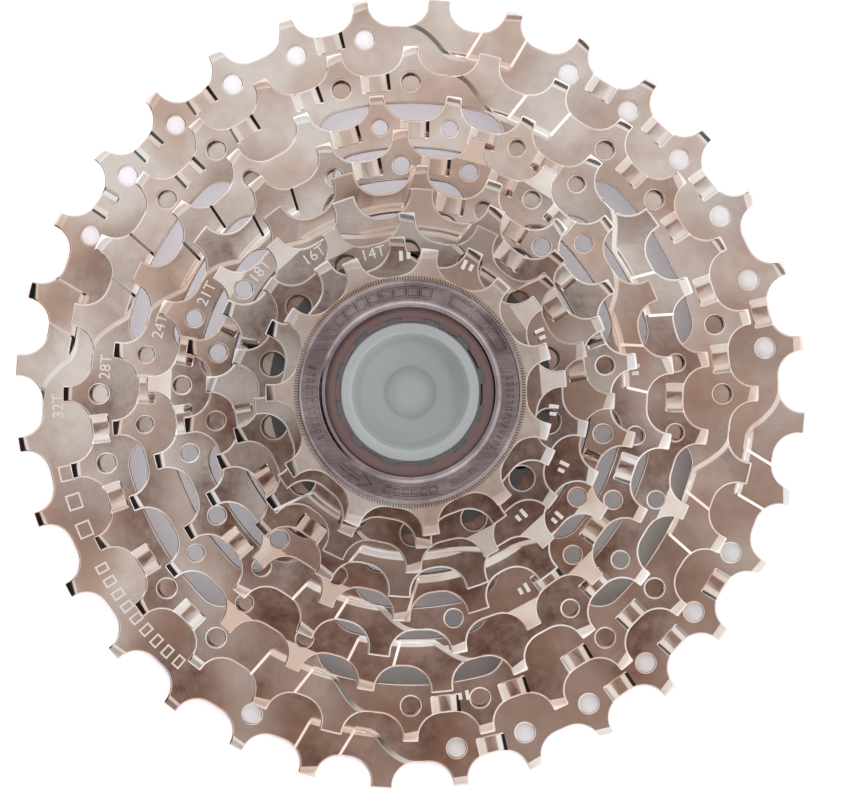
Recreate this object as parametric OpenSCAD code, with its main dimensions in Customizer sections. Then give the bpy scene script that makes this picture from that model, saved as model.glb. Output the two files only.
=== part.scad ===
// Nine-speed bicycle cassette with 11 to 32 teeth, on the plastic core it is sold on.
// Millimetres. +Z runs along the hub axle from the largest sprocket to the smallest, and the
// origin is on the axle at the back face of the largest sprocket. Angles are clockwise from +Y
// as seen from the small-sprocket side, which is the front of every plate.

/* [Chain and teeth] */
// Distance between two chain pins
chain_pitch = 12.7; // [12.6:0.1:12.8]
// Radius of the seat that a chain roller rests in
seat_r = 4; // [3.9:0.05:4.1]
// Length of the flat at the bottom of a seat
seat_flat = 2.1; // [1.6:0.1:2.4]
// Depth of the seats below the pitch circle
root_drop = 3.9; // [3.7:0.1:4.1]
// Height of the tooth tips above the pitch circle
tip_rise = 0.6; // [0.4:0.1:0.8]
// Width of the chamfer on the front of a tooth tip
chamfer_w = 1.65; // [1:0.05:2]
// Depth of that chamfer
chamfer_h = 0.8; // [0.4:0.1:1.2]

/* [Plates] */
// Thickness of a sprocket plate
plate_t = 1.8; // [1.6:0.1:2]
// Distance from one sprocket to the next
step = 4.35; // [4.2:0.05:4.5]
// Outer radius of the hub ring that the arms grow from
hub_ring_r = 22.8; // [22.6:0.1:24]
// Rounding of the outer corners of a window
window_round = 4; // [2:0.5:5]

/* [Shifting aids] */
// Depth of the deep recess in front of a shift tooth
ramp_deep = 0.8; // [0.4:0.1:1]
// Depth of the shallow recess beside it
ramp_shallow = 0.4; // [0.2:0.1:0.4]
// How far a recess reaches below the seats
ramp_reach = 3.2; // [2.8:0.1:3.2]
// Width of a scoop at the bottom of a seat
scoop_w = 4.8; // [4:0.1:4.8]
// Depth of a scoop
scoop_h = 0.65; // [0.3:0.05:0.9]
// How far a scoop reaches below the seat
scoop_reach = 3; // [2:0.1:3.4]
// Slope of the face of a fully bevelled tooth, in degrees
bevel_slope = 13; // [8:1:16]
// Height above the seats where that slope starts
bevel_start = 0.6; // [0.5:0.1:0.8]

/* [Freehub spline] */
// Radius of the spline bore between the tabs
spline_r = 17.4; // [17.2:0.1:17.5]
// Radius at the inner end of the tabs
tab_r = 16.5; // [16.3:0.1:16.7]
// Width of the eight wide tabs
tab_w = 5; // [4:0.1:6]
// Width of the one narrow tab
narrow_tab_w = 2.8; // [2:0.1:3.5]

/* [Rivets] */
// Radius of the circle that the rivets stand on
rivet_circle_r = 20.3; // [20.1:0.1:20.4]
// Radius of a rivet's shank
rivet_r = 1.5; // [1.2:0.1:1.6]
// Radius of a rivet's head
rivet_head_r = 2.2; // [1.9:0.1:2.3]
// Height of a rivet's front head
rivet_head_h = 0.8; // [0.5:0.1:1.2]

/* [Lockring and washer] */
// Outer radius of the lockring's flange
flange_r = 17.9; // [17.7:0.1:18.1]
// Thickness of the flange
flange_t = 1.5; // [1.2:0.1:2]
// Outer radius of the lockring's thread, which is drawn smooth
thread_r = 15.3; // [15.2:0.05:15.35]
// Length of the thread below the flange
thread_l = 4.8; // [4.5:0.1:5.5]
// Radius of the ridge on the flange
ridge_r = 13.8; // [13.4:0.1:14.2]
// Height of the ridge above the flange
ridge_h = 0.4; // [0.2:0.1:0.8]
// Radius of the lockring's bore
lockring_bore_r = 11.3; // [11.2:0.1:11.5]
// Radius at the bottom of the tool notches
notch_r = 12; // [11.8:0.1:12.2]
// Width of a tool notch
notch_w = 2.6; // [2:0.1:3]
// Thickness of the washer under the flange
washer_t = 0.5; // [0.4:0.1:0.8]

/* [Shipping core] */
// Radial clearance between the core and the sprockets
core_gap = 0.25; // [0.15:0.05:0.3]
// Inner radius of the core's lower tube
core_tube_r = 14.4; // [13.5:0.1:14.8]
// Outer radius of the nose inside the lockring
nose_r = 11.05; // [10.8:0.05:11.05]
// Inner radius of the nose's rim
nose_bore_r = 9.3; // [9:0.1:9.6]
// Radius of the dome on the core's floor
dome_r = 4.2; // [3.5:0.1:5]

/* [Hidden] */
$fn = 96;
eps = 0.01;

// One entry per sprocket, from the back of the stack to the front.
TEETH = [32, 28, 24, 21, 18, 16, 14, 12, 11];
// Angle of the centre of tooth 0
PHASE = [3.85, 0, 8.4, 14.9, 1.9, 2.4, -1.1, 24.9, 7.9];
// Circle that the round holes lie on, and their radius
HOLE_CIRCLE_R = [59, 51.3, 43.8, 37.3, 31.9, 0, 22.6, 0, 0];
HOLE_R = [1.5, 1.5, 1.3, 1.35, 1.4, 0, 1.9, 0, 0];
// Outer radius of the windows between the arms, or 0 for a plate without windows
WINDOW_R = [49.4, 47.7, 40.1, 34.8, 29.3, 0, 0, 0, 0];
// Angle of the centre of the first of the six arms
ARM_AT = [30, 30, 30, 25, 25, 0, 0, 0, 0];
// Angle that each arm takes up
ARM_SPAN = [18, 20, 20, 17, 17, 0, 0, 0, 0];
// Shift ramps: start, end of the deep recess, end of the shallow one, and how many there are
RAMPS = [
    [-3, 10.9, 17.8, 4], [5, 21, 29.3, 4], [44, 63.3, 73, 3], [57, 78.5, 89.5, 3],
    [139, 179, 179, 2], [-25, 19, 19, 2], [12, 46, 46, 2], [], []
];
// Teeth that have a round hole under them
HOLED = [
    [for (k = [0 : 31]) if ((k % 8 > 1 && floor(k / 8) != 2) || k == 18) k],
    [for (k = [0 : 27]) if (len(search(k % 7, [0, 3, 4, 6])) > 0) k],
    [0, 1, 2, 5, 6, 7, 8, 9, 13, 14, 15, 17, 18, 21, 23],
    [0, 1, 2, 5, 6, 7, 9, 12, 13, 14, 15, 16, 19, 20],
    [1, 2, 4, 5, 6, 10, 11, 13, 14, 15],
    [],
    [for (k = [0 : 13]) k],
    [],
    []
];
// Seats with a scoop: seat k lies between teeth k and k + 1
SCOOPED = [
    [for (k = [0 : 31]) if (len(search(k % 8, [2, 3, 4, 6])) > 0 && floor(k / 8) != 2) k],
    [for (k = [0 : 27]) if (k % 7 > 2) k],
    [23, 0, 1, 5, 8, 17, 22],
    [20, 0, 1, 5, 6, 7, 12, 14, 15, 19],
    [0, 1, 2, 3, 5, 14],
    [1, 2, 3, 9, 10, 11, 12],
    [],
    [],
    []
];
// Teeth whose whole front face is bevelled
BEVELLED = [[], [], [7, 13, 14], [0, 7, 8], [6, 10, 11, 15], [6, 14], [6, 13], [1, 2], []];

ARMS = 6;
TABS = 9;
NOTCHES = 12;
CORNER_STEPS = 8;
ARC_STEPS = 14;
RIVETS = 3;
// Angle of the first tool notch
NOTCH_AT = 17;
// The shallow recess starts this many degrees inside the deep one, and reaches this much less far in.
OVERLAP = 2;
ramp_step = 0.3;
FRONT = len(TEETH) - 1;
// The riveted cluster runs from the largest sprocket to this one.
CLUSTER_FRONT = 5;

seat_half_w = seat_flat / 2 + seat_r;
// A scoop runs this far into the gap above the seat.
scoop_over = 0.3;
scoop_r = scoop_w * scoop_w / (8 * scoop_h) + scoop_h / 2;
// Radial clearance round a rivet's shank
rivet_gap = 0.05;
rivet_head_taper = 0.5;
countersink_h = 1;
// The spacer in front of the cluster clears the rivet heads.
head_gap = 0.1;
// The boss behind the smallest sprocket, and the serrated ring on its front
boss_r = 18.4;
serration_h = 0.25;
serration_in_r = 17.6;
serration_out_r = 18.6;
front_spacer_r = 20;
washer_in_r = thread_r + 0.15;
washer_out_r = 17.5;

front_face_z = FRONT * step + plate_t;
flange_z = front_face_z + washer_t;
thread_end_z = flange_z - thread_l;
thread_gap = 0.05;
// Bevel on the lockring's outer edges, and width of the foot and crest of its ridge
edge_bevel = 0.4;
ridge_foot = 0.7;
ridge_crest = 0.3;
// The tool notches go through a short ring inside the lockring's bore.
notch_ring_z = flange_z - 1.6;
notch_ring_top_z = flange_z + 0.4;
throat_r = 12.8;
ledge_r = 12.3;
ledge_z = notch_ring_z - 0.4;
socket_z = thread_end_z - 0.3;
socket_top_z = front_face_z - 0.3;
shoulder_z = socket_z - 3;
dish_z = socket_z - 1;
nose_z = flange_z + 0.7;
dome_h = 1.8;
// The dish on the core's floor rises this much at its middle and at its edge.
dish_rise = 0.6;
dish_edge_rise = 2.4;
dish_edge_w = 0.5;

function pitch_r(n) = chain_pitch / (2 * sin(180 / n));
function root_r(n) = pitch_r(n) - root_drop;
function tip_r(n) = pitch_r(n) + tip_rise;
function back_z(i) = i * step;
function tooth_at(i, k) = PHASE[i] + k * 360 / TEETH[i];

// Turns its children clockwise from +Y.
module at_angle(a) {
    rotate([0, 0, -a]) children();
}

// The direction at an angle clockwise from +Y.
function dir(a) = [sin(a), cos(a)];
function arc(centre, r, from, to, steps) =
    [for (k = [0 : steps]) centre + r * dir(from + (to - from) * k / steps)];

// One window between two arms, with its outer corners rounded.
module window(r_out, from, to) {
    corner = min(window_round, (r_out - hub_ring_r) / 2.5);
    centre_r = r_out - corner;
    span = asin(corner / centre_r);
    polygon(concat(
        arc(centre_r * dir(from + span), corner, from - 90, from + span, CORNER_STEPS),
        arc([0, 0], r_out, from + span, to - span, ARC_STEPS),
        arc(centre_r * dir(to - span), corner, to - span, to + 90, CORNER_STEPS),
        arc([0, 0], hub_ring_r, to, from, ARC_STEPS)
    ));
}

module windows(i) {
    for (k = [0 : ARMS - 1]) {
        from = ARM_AT[i] + ARM_SPAN[i] / 2 + k * 360 / ARMS;
        window(WINDOW_R[i], from, from + 360 / ARMS - ARM_SPAN[i]);
    }
}

// The gap between two teeth, centred on +Y.
module tooth_gap(n) {
    centre_y = root_r(n) + seat_r;
    for (side = [-1, 1]) {
        translate([side * seat_flat / 2, centre_y]) circle(r = seat_r);
    }
    translate([-seat_flat / 2, root_r(n)]) square([seat_flat, seat_r]);
    translate([-seat_half_w, centre_y]) square([2 * seat_half_w, seat_r]);
}

// The opening for the freehub. Nine tabs stand into it.
module spline_bore(r, inner_r, widen) {
    difference() {
        circle(r = r);
        difference() {
            for (k = [0 : TABS - 1]) {
                w = (k == 0 ? narrow_tab_w : tab_w) + widen;
                at_angle(k * 360 / TABS) translate([-w / 2, inner_r / 2]) square([w, r]);
            }
            circle(r = inner_r);
        }
    }
}

module rivet_holes(r) {
    for (k = [0 : RIVETS - 1]) {
        at_angle(k * 360 / RIVETS) translate([0, rivet_circle_r]) circle(r = r);
    }
}

module plate_outline(i) {
    n = TEETH[i];
    difference() {
        circle(r = tip_r(n));
        for (k = [0 : n - 1]) {
            at_angle(tooth_at(i, k + 0.5)) tooth_gap(n);
        }
        for (k = HOLED[i]) {
            at_angle(tooth_at(i, k)) translate([0, HOLE_CIRCLE_R[i]]) circle(r = HOLE_R[i]);
        }
        if (WINDOW_R[i] > 0) windows(i);
        if (i <= CLUSTER_FRONT) rivet_holes(rivet_r + rivet_gap);
        spline_bore(spline_r, tab_r, 0);
    }
}

// Chamfers the front of every tooth tip.
module tip_chamfer(n) {
    rotate_extrude() {
        polygon([
            [tip_r(n) - chamfer_w, plate_t + eps],
            [tip_r(n) + 1, plate_t + eps],
            [tip_r(n) + 1, plate_t - chamfer_h * (chamfer_w + 1) / chamfer_w],
            [tip_r(n), plate_t - chamfer_h]
        ]);
    }
}

// A recess in the front face, clockwise from one angle to another.
module recess(n, from, to, depth, reach) {
    at_angle(to - 90) rotate_extrude(angle = to - from) {
        translate([root_r(n) - reach, plate_t - depth])
            square([reach + root_drop + tip_rise + 1, depth + 1]);
    }
}

module ramps(i) {
    ramp = RAMPS[i];
    for (k = [0 : 1 : ramp[3] - 1]) {
        turn = k * 360 / ramp[3];
        recess(TEETH[i], ramp[0] + turn, ramp[1] + turn, ramp_deep, ramp_reach);
        if (ramp[2] > ramp[1]) {
            recess(TEETH[i], ramp[1] + turn - OVERLAP, ramp[2] + turn, ramp_shallow, ramp_reach - ramp_step);
        }
    }
}

module scoop(n) {
    translate([0, root_r(n) - scoop_reach, plate_t + scoop_r - scoop_h])
        rotate([-90, 0, 0]) cylinder(r = scoop_r, h = scoop_reach + scoop_over);
}

module bevel(n) {
    translate([0, root_r(n) + bevel_start, plate_t]) rotate([-bevel_slope, 0, 0])
        translate([-seat_r, 0, 0]) cube([2 * seat_r, 2 * root_drop, plate_t]);
}

module sprocket(i) {
    n = TEETH[i];
    translate([0, 0, back_z(i)]) difference() {
        linear_extrude(height = plate_t) plate_outline(i);
        tip_chamfer(n);
        if (len(RAMPS[i]) > 0) ramps(i);
        for (k = SCOOPED[i]) at_angle(tooth_at(i, k + 0.5)) scoop(n);
        for (k = BEVELLED[i]) at_angle(tooth_at(i, k)) bevel(n);
        if (i == 0) countersinks(rivet_gap);
    }
}

// The cones that hold the rivets' back heads flush with the largest sprocket.
module countersinks(gap) {
    for (k = [0 : RIVETS - 1]) {
        at_angle(k * 360 / RIVETS) translate([0, rivet_circle_r, 0])
            cylinder(h = countersink_h, r1 = rivet_head_r + gap, r2 = rivet_r + gap);
    }
}

module sprocket_32t() { color("rosybrown") sprocket(0); }
module sprocket_28t() { color("rosybrown") sprocket(1); }
module sprocket_24t() { color("rosybrown") sprocket(2); }
module sprocket_21t() { color("rosybrown") sprocket(3); }
module sprocket_18t() { color("rosybrown") sprocket(4); }
module sprocket_16t() { color("rosybrown") sprocket(5); }
module sprocket_14t() { color("rosybrown") sprocket(6); }
module sprocket_12t() { color("rosybrown") sprocket(7); }

// The smallest sprocket carries its own boss behind and a serrated ring in front.
module sprocket_11t() {
    color("tan") union() {
        sprocket(FRONT);
        translate([0, 0, back_z(FRONT) - step + plate_t]) linear_extrude(height = step - plate_t)
            difference() {
                circle(r = boss_r);
                spline_bore(spline_r, tab_r, 0);
            }
        translate([0, 0, front_face_z]) linear_extrude(height = serration_h)
            difference() {
                circle(r = serration_out_r);
                circle(r = serration_in_r);
            }
    }
}

// The ring in front of sprocket i that holds the next one at its distance.
module spacer(i, r_out, hole_r) {
    color("dimgray") translate([0, 0, back_z(i) + plate_t])
        linear_extrude(height = step - plate_t) difference() {
            circle(r = r_out);
            spline_bore(spline_r, tab_r, 0);
            if (hole_r > 0) rivet_holes(hole_r);
        }
}

module spacer_32_28() { spacer(0, hub_ring_r, rivet_r + rivet_gap); }
module spacer_28_24() { spacer(1, hub_ring_r, rivet_r + rivet_gap); }
module spacer_24_21() { spacer(2, hub_ring_r, rivet_r + rivet_gap); }
module spacer_21_18() { spacer(3, hub_ring_r, rivet_r + rivet_gap); }
module spacer_18_16() { spacer(4, hub_ring_r, rivet_r + rivet_gap); }
module spacer_16_14() { spacer(5, hub_ring_r, rivet_head_r + head_gap); }
module spacer_14_12() { spacer(6, front_spacer_r, 0); }

module cluster_rivets() {
    head_z = back_z(CLUSTER_FRONT) + plate_t;
    color("silver") for (k = [0 : RIVETS - 1]) {
        at_angle(k * 360 / RIVETS) translate([0, rivet_circle_r, 0]) union() {
            cylinder(h = head_z + eps, r = rivet_r);
            cylinder(h = countersink_h, r1 = rivet_head_r, r2 = rivet_r);
            translate([0, 0, head_z])
                cylinder(h = rivet_head_h, r1 = rivet_head_r, r2 = rivet_head_r - rivet_head_taper);
        }
    }
}

module lockring() {
    top_z = flange_z + flange_t;
    color("slategray") difference() {
        rotate_extrude() polygon([
            [lockring_bore_r, notch_ring_z],
            [throat_r, notch_ring_z],
            [throat_r, thread_end_z],
            [thread_r - edge_bevel, thread_end_z],
            [thread_r, thread_end_z + edge_bevel],
            [thread_r, flange_z],
            [flange_r, flange_z],
            [flange_r, top_z - edge_bevel],
            [flange_r - edge_bevel, top_z],
            [ridge_r + ridge_foot, top_z],
            [ridge_r + ridge_crest, top_z + ridge_h],
            [ridge_r - ridge_crest, top_z + ridge_h],
            [lockring_bore_r, notch_ring_top_z]
        ]);
        for (k = [0 : NOTCHES - 1]) {
            at_angle(NOTCH_AT + k * 360 / NOTCHES) translate([-notch_w / 2, 0, notch_ring_z - 1])
                cube([notch_w, notch_r, flange_t + 4]);
        }
    }
}

module lockring_washer() {
    color("gainsboro") translate([0, 0, front_face_z]) difference() {
        cylinder(h = washer_t, r = washer_out_r);
        translate([0, 0, -1]) cylinder(h = washer_t + 2, r = washer_in_r);
    }
}

// A splined plastic tube that the sprockets sit on. The lockring screws into the socket at
// its front, round a nose with a dished floor and a dome.
module shipping_core() {
    color("lightgray") difference() {
        linear_extrude(height = nose_z)
            spline_bore(spline_r - core_gap, tab_r - core_gap, 2 * core_gap);
        // Everything outside the nose is cut down to the socket's top.
        translate([0, 0, socket_top_z]) linear_extrude(height = step) difference() {
            circle(r = spline_r + 1);
            circle(r = nose_r);
        }
        // The socket for the lockring's thread
        translate([0, 0, socket_z]) linear_extrude(height = 2 * step) difference() {
            circle(r = thread_r + thread_gap);
            circle(r = ledge_r);
        }
        // The ledge that the nose stands on
        translate([0, 0, ledge_z]) linear_extrude(height = 2 * step) difference() {
            circle(r = ledge_r + eps);
            circle(r = nose_r);
        }
        // The nose's bore, the dish and the dome on its floor
        rotate_extrude() polygon([
            [0, dish_z + dome_h],
            [dome_r * 0.5, dish_z + dome_h * 0.8],
            [dome_r * 0.85, dish_z + dome_h * 0.4],
            [dome_r, dish_z],
            [nose_bore_r * 0.75, dish_z + dish_rise],
            [nose_bore_r - dish_edge_w, dish_z + dish_edge_rise],
            [nose_bore_r, nose_z + 1],
            [0, nose_z + 1]
        ]);
        // The open tube behind the floor
        translate([0, 0, -1]) cylinder(h = shoulder_z + 1, r = core_tube_r);
    }
}

sprocket_32t();
sprocket_28t();
sprocket_24t();
sprocket_21t();
sprocket_18t();
sprocket_16t();
sprocket_14t();
sprocket_12t();
sprocket_11t();
spacer_32_28();
spacer_28_24();
spacer_24_21();
spacer_21_18();
spacer_18_16();
spacer_16_14();
spacer_14_12();
cluster_rivets();
lockring();
lockring_washer();
shipping_core();
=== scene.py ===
import math
from functools import partial

import bmesh
import bpy
import numpy as np
from mathutils import Matrix, Vector
from mathutils.geometry import delaunay_2d_cdt


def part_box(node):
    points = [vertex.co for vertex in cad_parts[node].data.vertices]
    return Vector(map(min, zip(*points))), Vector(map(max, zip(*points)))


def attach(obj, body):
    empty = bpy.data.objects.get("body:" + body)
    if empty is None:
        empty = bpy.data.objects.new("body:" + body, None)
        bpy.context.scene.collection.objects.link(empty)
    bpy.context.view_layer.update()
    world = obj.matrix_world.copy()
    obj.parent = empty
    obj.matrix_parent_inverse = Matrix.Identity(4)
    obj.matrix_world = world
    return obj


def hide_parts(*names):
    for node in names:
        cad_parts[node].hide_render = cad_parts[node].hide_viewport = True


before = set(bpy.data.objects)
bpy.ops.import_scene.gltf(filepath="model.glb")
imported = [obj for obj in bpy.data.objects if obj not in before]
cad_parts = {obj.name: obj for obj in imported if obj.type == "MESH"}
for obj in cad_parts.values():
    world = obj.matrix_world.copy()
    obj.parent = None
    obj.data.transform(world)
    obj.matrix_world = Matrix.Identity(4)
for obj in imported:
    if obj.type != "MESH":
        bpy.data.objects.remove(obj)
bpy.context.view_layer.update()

# Shapes are worked out in millimetres and written in metres. Angles are clockwise from +Y as
# seen from the front, the small-sprocket side, which faces +Z.
MM = 0.001

# ---- driving dimensions
TEETH = [32, 28, 24, 21, 18, 16, 14, 12, 11]
# Angle of the centre of tooth 0 of each sprocket
PHASE = [3.85, 0, 8.4, 14.9, 1.9, 2.4, -1.1, 24.9, 7.9]
CHAIN_PITCH = 12.7
SEAT_R = 4.0
SEAT_FLAT = 2.1
ROOT_DROP = 3.9
TIP_RISE = 0.6
TIP_CORNER = 0.35
# How far the left and right flank stand out: of a plain shift tooth, and of the tooth after it
PLAIN_FLANKS = (0.1, 1.0)
NEXT_FLANKS = (-0.1, 0.4)
CHAMFER_W = 1.65
CHAMFER_H = 0.75
# A tip's chamfer curves over: this share of its depth is a plain slope.
CHAMFER_FLAT = 0.45
# The most that a tip's chamfer leans to a side
CHAMFER_LEAN = 0.3
# Width and depth of the rounding that the press leaves on the front edges, and the bevel behind
ROLL = 0.3
ROLL_DEPTH = 0.22
# Rings along an edge that shape its rounding. The last one keeps the flat face's shading flat.
ROLL_RINGS = (0.3, 0.65, 1, 1.25)
BACK_BEVEL = 0.12
# What the reliefs leave of a plate's thickness at least
LEAST_T = 0.55
SPLINE_R = 17.4
TAB_R = 16.5
TAB_W = 5.0
NARROW_TAB_W = 2.8
TABS = 9
HUB_RING_R = 22.8
WINDOW_ROUND = 4.0
ARMS = 6
RIVETS = 3
RIVET_CIRCLE_R = 20.3
RIVET_HOLE_R = 1.55
CLUSTER_FRONT = 5
HOLE_CIRCLE_R = [59, 51.3, 43.8, 37.3, 31.9, 0, 22.6, 0, 0]
HOLE_R = [1.5, 1.5, 1.3, 1.35, 1.4, 0, 1.9, 0, 0]
WINDOW_R = [49.4, 47.7, 40.1, 34.8, 29.3, 0, 0, 0, 0]
ARM_AT = [30, 30, 30, 25, 25, 0, 0, 0, 0]
ARM_SPAN = [18, 20, 20, 17, 17, 0, 0, 0, 0]
# Teeth with a round hole under them
HOLED = [
    [k for k in range(32) if (k % 8 > 1 and k // 8 != 2) or k == 18],
    [k for k in range(28) if k % 7 in (0, 3, 4, 6)],
    [0, 1, 2, 5, 6, 7, 8, 9, 13, 14, 15, 17, 18, 21, 23],
    [0, 1, 2, 5, 6, 7, 9, 12, 13, 14, 15, 16, 19, 20],
    [1, 2, 4, 5, 6, 10, 11, 13, 14, 15],
    [], list(range(14)), [], [],
]
# Seats with a scoop: seat k lies between teeth k and k + 1
SCOOPED = [
    [k for k in range(32) if k % 8 in (2, 3, 4, 6) and k // 8 != 2],
    [k for k in range(28) if k % 7 > 2],
    [23, 0, 1, 5, 8, 17, 22],
    [20, 0, 1, 5, 6, 7, 12, 14, 15, 19],
    [0, 1, 2, 3, 5, 14],
    [1, 2, 3, 9, 10, 11, 12],
    [], [], [],
]
# Teeth whose whole front face slopes, and teeth with a plain tip
BEVELLED = [[], [], [7, 13, 14], [0, 1, 7, 8, 15], [6, 10, 11, 15], [6, 14], [6, 13], [1, 2], []]
PLAIN = [
    [0, 8, 16, 24], [1, 8, 15, 22], [3, 11, 19], [3, 10, 17], [7, 8, 16, 17], [15, 0, 7, 8],
    [1, 8], [4, 7, 8], [],
]
# Shift ramps: the curve where the deep recess starts, the step up to the shallow recess, the
# step up to the full face, and how many ramps go round. Each point is an angle and a radius.
RAMPS = [
    dict(curve=[(-3, 60.9), (0, 60.5), (2, 59.6), (4, 57.9), (5.5, 56.3), (7.5, 55.4)],
         steps=[((9.7, 56.4), (11.5, 61.2)), ((17, 55.3), (18.3, 61.1))], count=4),
    dict(curve=[(5, 52.9), (8, 52.6), (10, 51.8), (12, 50.3), (13.5, 49), (15, 47.9), (17.5, 47.2)],
         steps=[((19.7, 47.9), (21.5, 52.8)), ((28.4, 47), (29.7, 52.1))], count=4),
    dict(curve=[(44, 44.8), (47.5, 44.3), (50, 43.2), (52.5, 41.6), (55, 40.3), (58, 39.9)],
         steps=[((62.5, 40), (64, 45.2)), ((72, 40.3), (73.5, 44.9))], count=3),
    dict(curve=[(57, 38.7), (60.5, 38.1), (63.5, 37), (66.5, 35.4), (69, 34.4), (72, 34.2)],
         steps=[((77, 34.4), (78.8, 38.8)), ((88.5, 34.4), (90.2, 38.8))], count=3),
    dict(curve=[(131, 32.7), (136, 32), (141, 30.6), (146, 29.6), (152, 29.3)],
         steps=[((177.5, 29.4), (179.6, 32.8))], count=2),
    dict(curve=[(-32, 28.7), (-27, 28), (-21, 26.6), (-15, 25.8), (-9, 25.5)],
         steps=[((17.5, 25.6), (20, 28.8))], count=2),
    dict(curve=[(11, 24.7), (17, 24.2), (23, 22.9), (29, 21.9)],
         steps=[((44, 21.4), (47, 24.8))], count=2),
    None, None,
]
RAMP_DEEP = 0.75
RAMP_SHALLOW = 0.35
# A recess with one step only has this share of the full depth.
RAMP_SINGLE = 0.8
# A recess runs out towards the axle over this width.
RAMP_FADE = 1.7
# The wall along the curve: a gentle slope this wide, down this share of the depth, then a step
CURVE_SLOPE_W = 0.7
CURVE_SLOPE = 0.37
CURVE_WALL = 0.88
STEP_WALL = 0.45
SCOOP_W = 4.8
SCOOP_REACH = 3.0
SCOOP_DEPTH = 0.55
SCOOP_WALL = 0.2
BEVEL_SLOPE = 0.23
BEVEL_START = 0.3

COGS = ["sprocket_%dt" % n for n in TEETH]
BACK_Z = [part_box(c)[0].z / MM for c in COGS]
STEP = BACK_Z[1] - BACK_Z[0]
PLATE_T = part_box(COGS[1])[1].z / MM - BACK_Z[1]
BACK_Z[8] = BACK_Z[7] + STEP


# ---- small geometry helpers
def spot(angle, r):
    a = math.radians(angle)
    return np.array([r * math.sin(a), r * math.cos(a)])


def turned(points, angle):
    """Turns points clockwise."""
    a = math.radians(angle)
    p = np.asarray(points, float)
    return np.column_stack([
        p[:, 0] * math.cos(a) + p[:, 1] * math.sin(a),
        p[:, 1] * math.cos(a) - p[:, 0] * math.sin(a),
    ])


def arc(centre, r, start, stop, steps):
    return [np.asarray(centre) + spot(start + (stop - start) * k / steps, r) for k in range(steps + 1)]


def circle(centre, r, steps=28):
    return np.array(arc(centre, r, 0, 360, steps)[:-1])


def smooth_line(points, per_span=6):
    """A Catmull-Rom curve through the points."""
    p = [np.asarray(q, float) for q in points]
    p = [2 * p[0] - p[1]] + p + [2 * p[-1] - p[-2]]
    out = []
    for a, b, c, d in zip(p, p[1:], p[2:], p[3:]):
        for k in range(per_span):
            t = k / per_span
            out.append(0.5 * (2 * b + (c - a) * t + (2 * a - 5 * b + 4 * c - d) * t * t
                              + (3 * b - a - 3 * c + d) * t ** 3))
    out.append(p[-2])
    return np.array(out)


def right_normals(line):
    """Unit normals on the right of an open line, one per point."""
    t = np.gradient(line, axis=0)
    t /= np.linalg.norm(t, axis=1)[:, None]
    return np.column_stack([t[:, 1], -t[:, 0]])


def area(loop):
    nxt = np.roll(loop, -1, 0)
    return 0.5 * np.sum(loop[:, 0] * nxt[:, 1] - nxt[:, 0] * loop[:, 1])


def grown(loop, d):
    """Moves a closed loop outwards by d, or inwards if d is negative."""
    t = np.roll(loop, -1, 0) - loop
    t /= np.maximum(np.linalg.norm(t, axis=1), 1e-9)[:, None]
    n = np.column_stack([t[:, 1], -t[:, 0]]) * (1 if area(loop) > 0 else -1)
    before = np.roll(n, 1, 0)
    scale = 1 / np.maximum(1 + np.sum(n * before, axis=1), 0.35)
    return loop + d * (n + before) * scale[:, None]


def inside(points, loop):
    x, y = points[:, 0][:, None], points[:, 1][:, None]
    x0, y0 = loop[:, 0][None], loop[:, 1][None]
    x1, y1 = np.roll(loop[:, 0], -1)[None], np.roll(loop[:, 1], -1)[None]
    crosses = (y0 > y) != (y1 > y)
    with np.errstate(divide="ignore", invalid="ignore"):
        at = (x1 - x0) * (y - y0) / (y1 - y0) + x0
    return (np.sum(crosses & (x < at), axis=1) % 2).astype(bool)


def away_from(points, line, closed=True):
    """Distance from each point to a line of straight pieces."""
    a = line if closed else line[:-1]
    b = np.roll(line, -1, 0) if closed else line[1:]
    out = np.empty(len(points))
    for start in range(0, len(points), 2000):
        p = points[start:start + 2000][:, None]
        ab = (b - a)[None]
        t = np.clip(np.sum((p - a) * ab, 2) / np.maximum(np.sum(ab * ab, 2), 1e-12), 0, 1)
        out[start:start + 2000] = np.sqrt(np.min(np.sum((p - a - t[..., None] * ab) ** 2, 2), 1))
    return out


def ramp01(x):
    return np.clip(x, 0, 1)


def smooth01(x):
    x = np.clip(x, 0, 1)
    return x * x * (3 - 2 * x)


# ---- sprocket outlines
def pitch_r(i):
    return CHAIN_PITCH / (2 * math.sin(math.pi / TEETH[i]))


def root_r(i):
    return pitch_r(i) - ROOT_DROP


def tip_r(i):
    return pitch_r(i) + TIP_RISE


def tooth_at(i, k):
    return PHASE[i] + k * 360 / TEETH[i]


def flank_shift(i, k):
    """How far the two flanks of tooth k stand out from an ordinary tooth's, left and right."""
    k %= TEETH[i]
    if k in PLAIN[i] and RAMPS[i]:
        return PLAIN_FLANKS
    if (k - 1) % TEETH[i] in PLAIN[i] and RAMPS[i]:
        return NEXT_FLANKS
    return 0.0, 0.0


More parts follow.
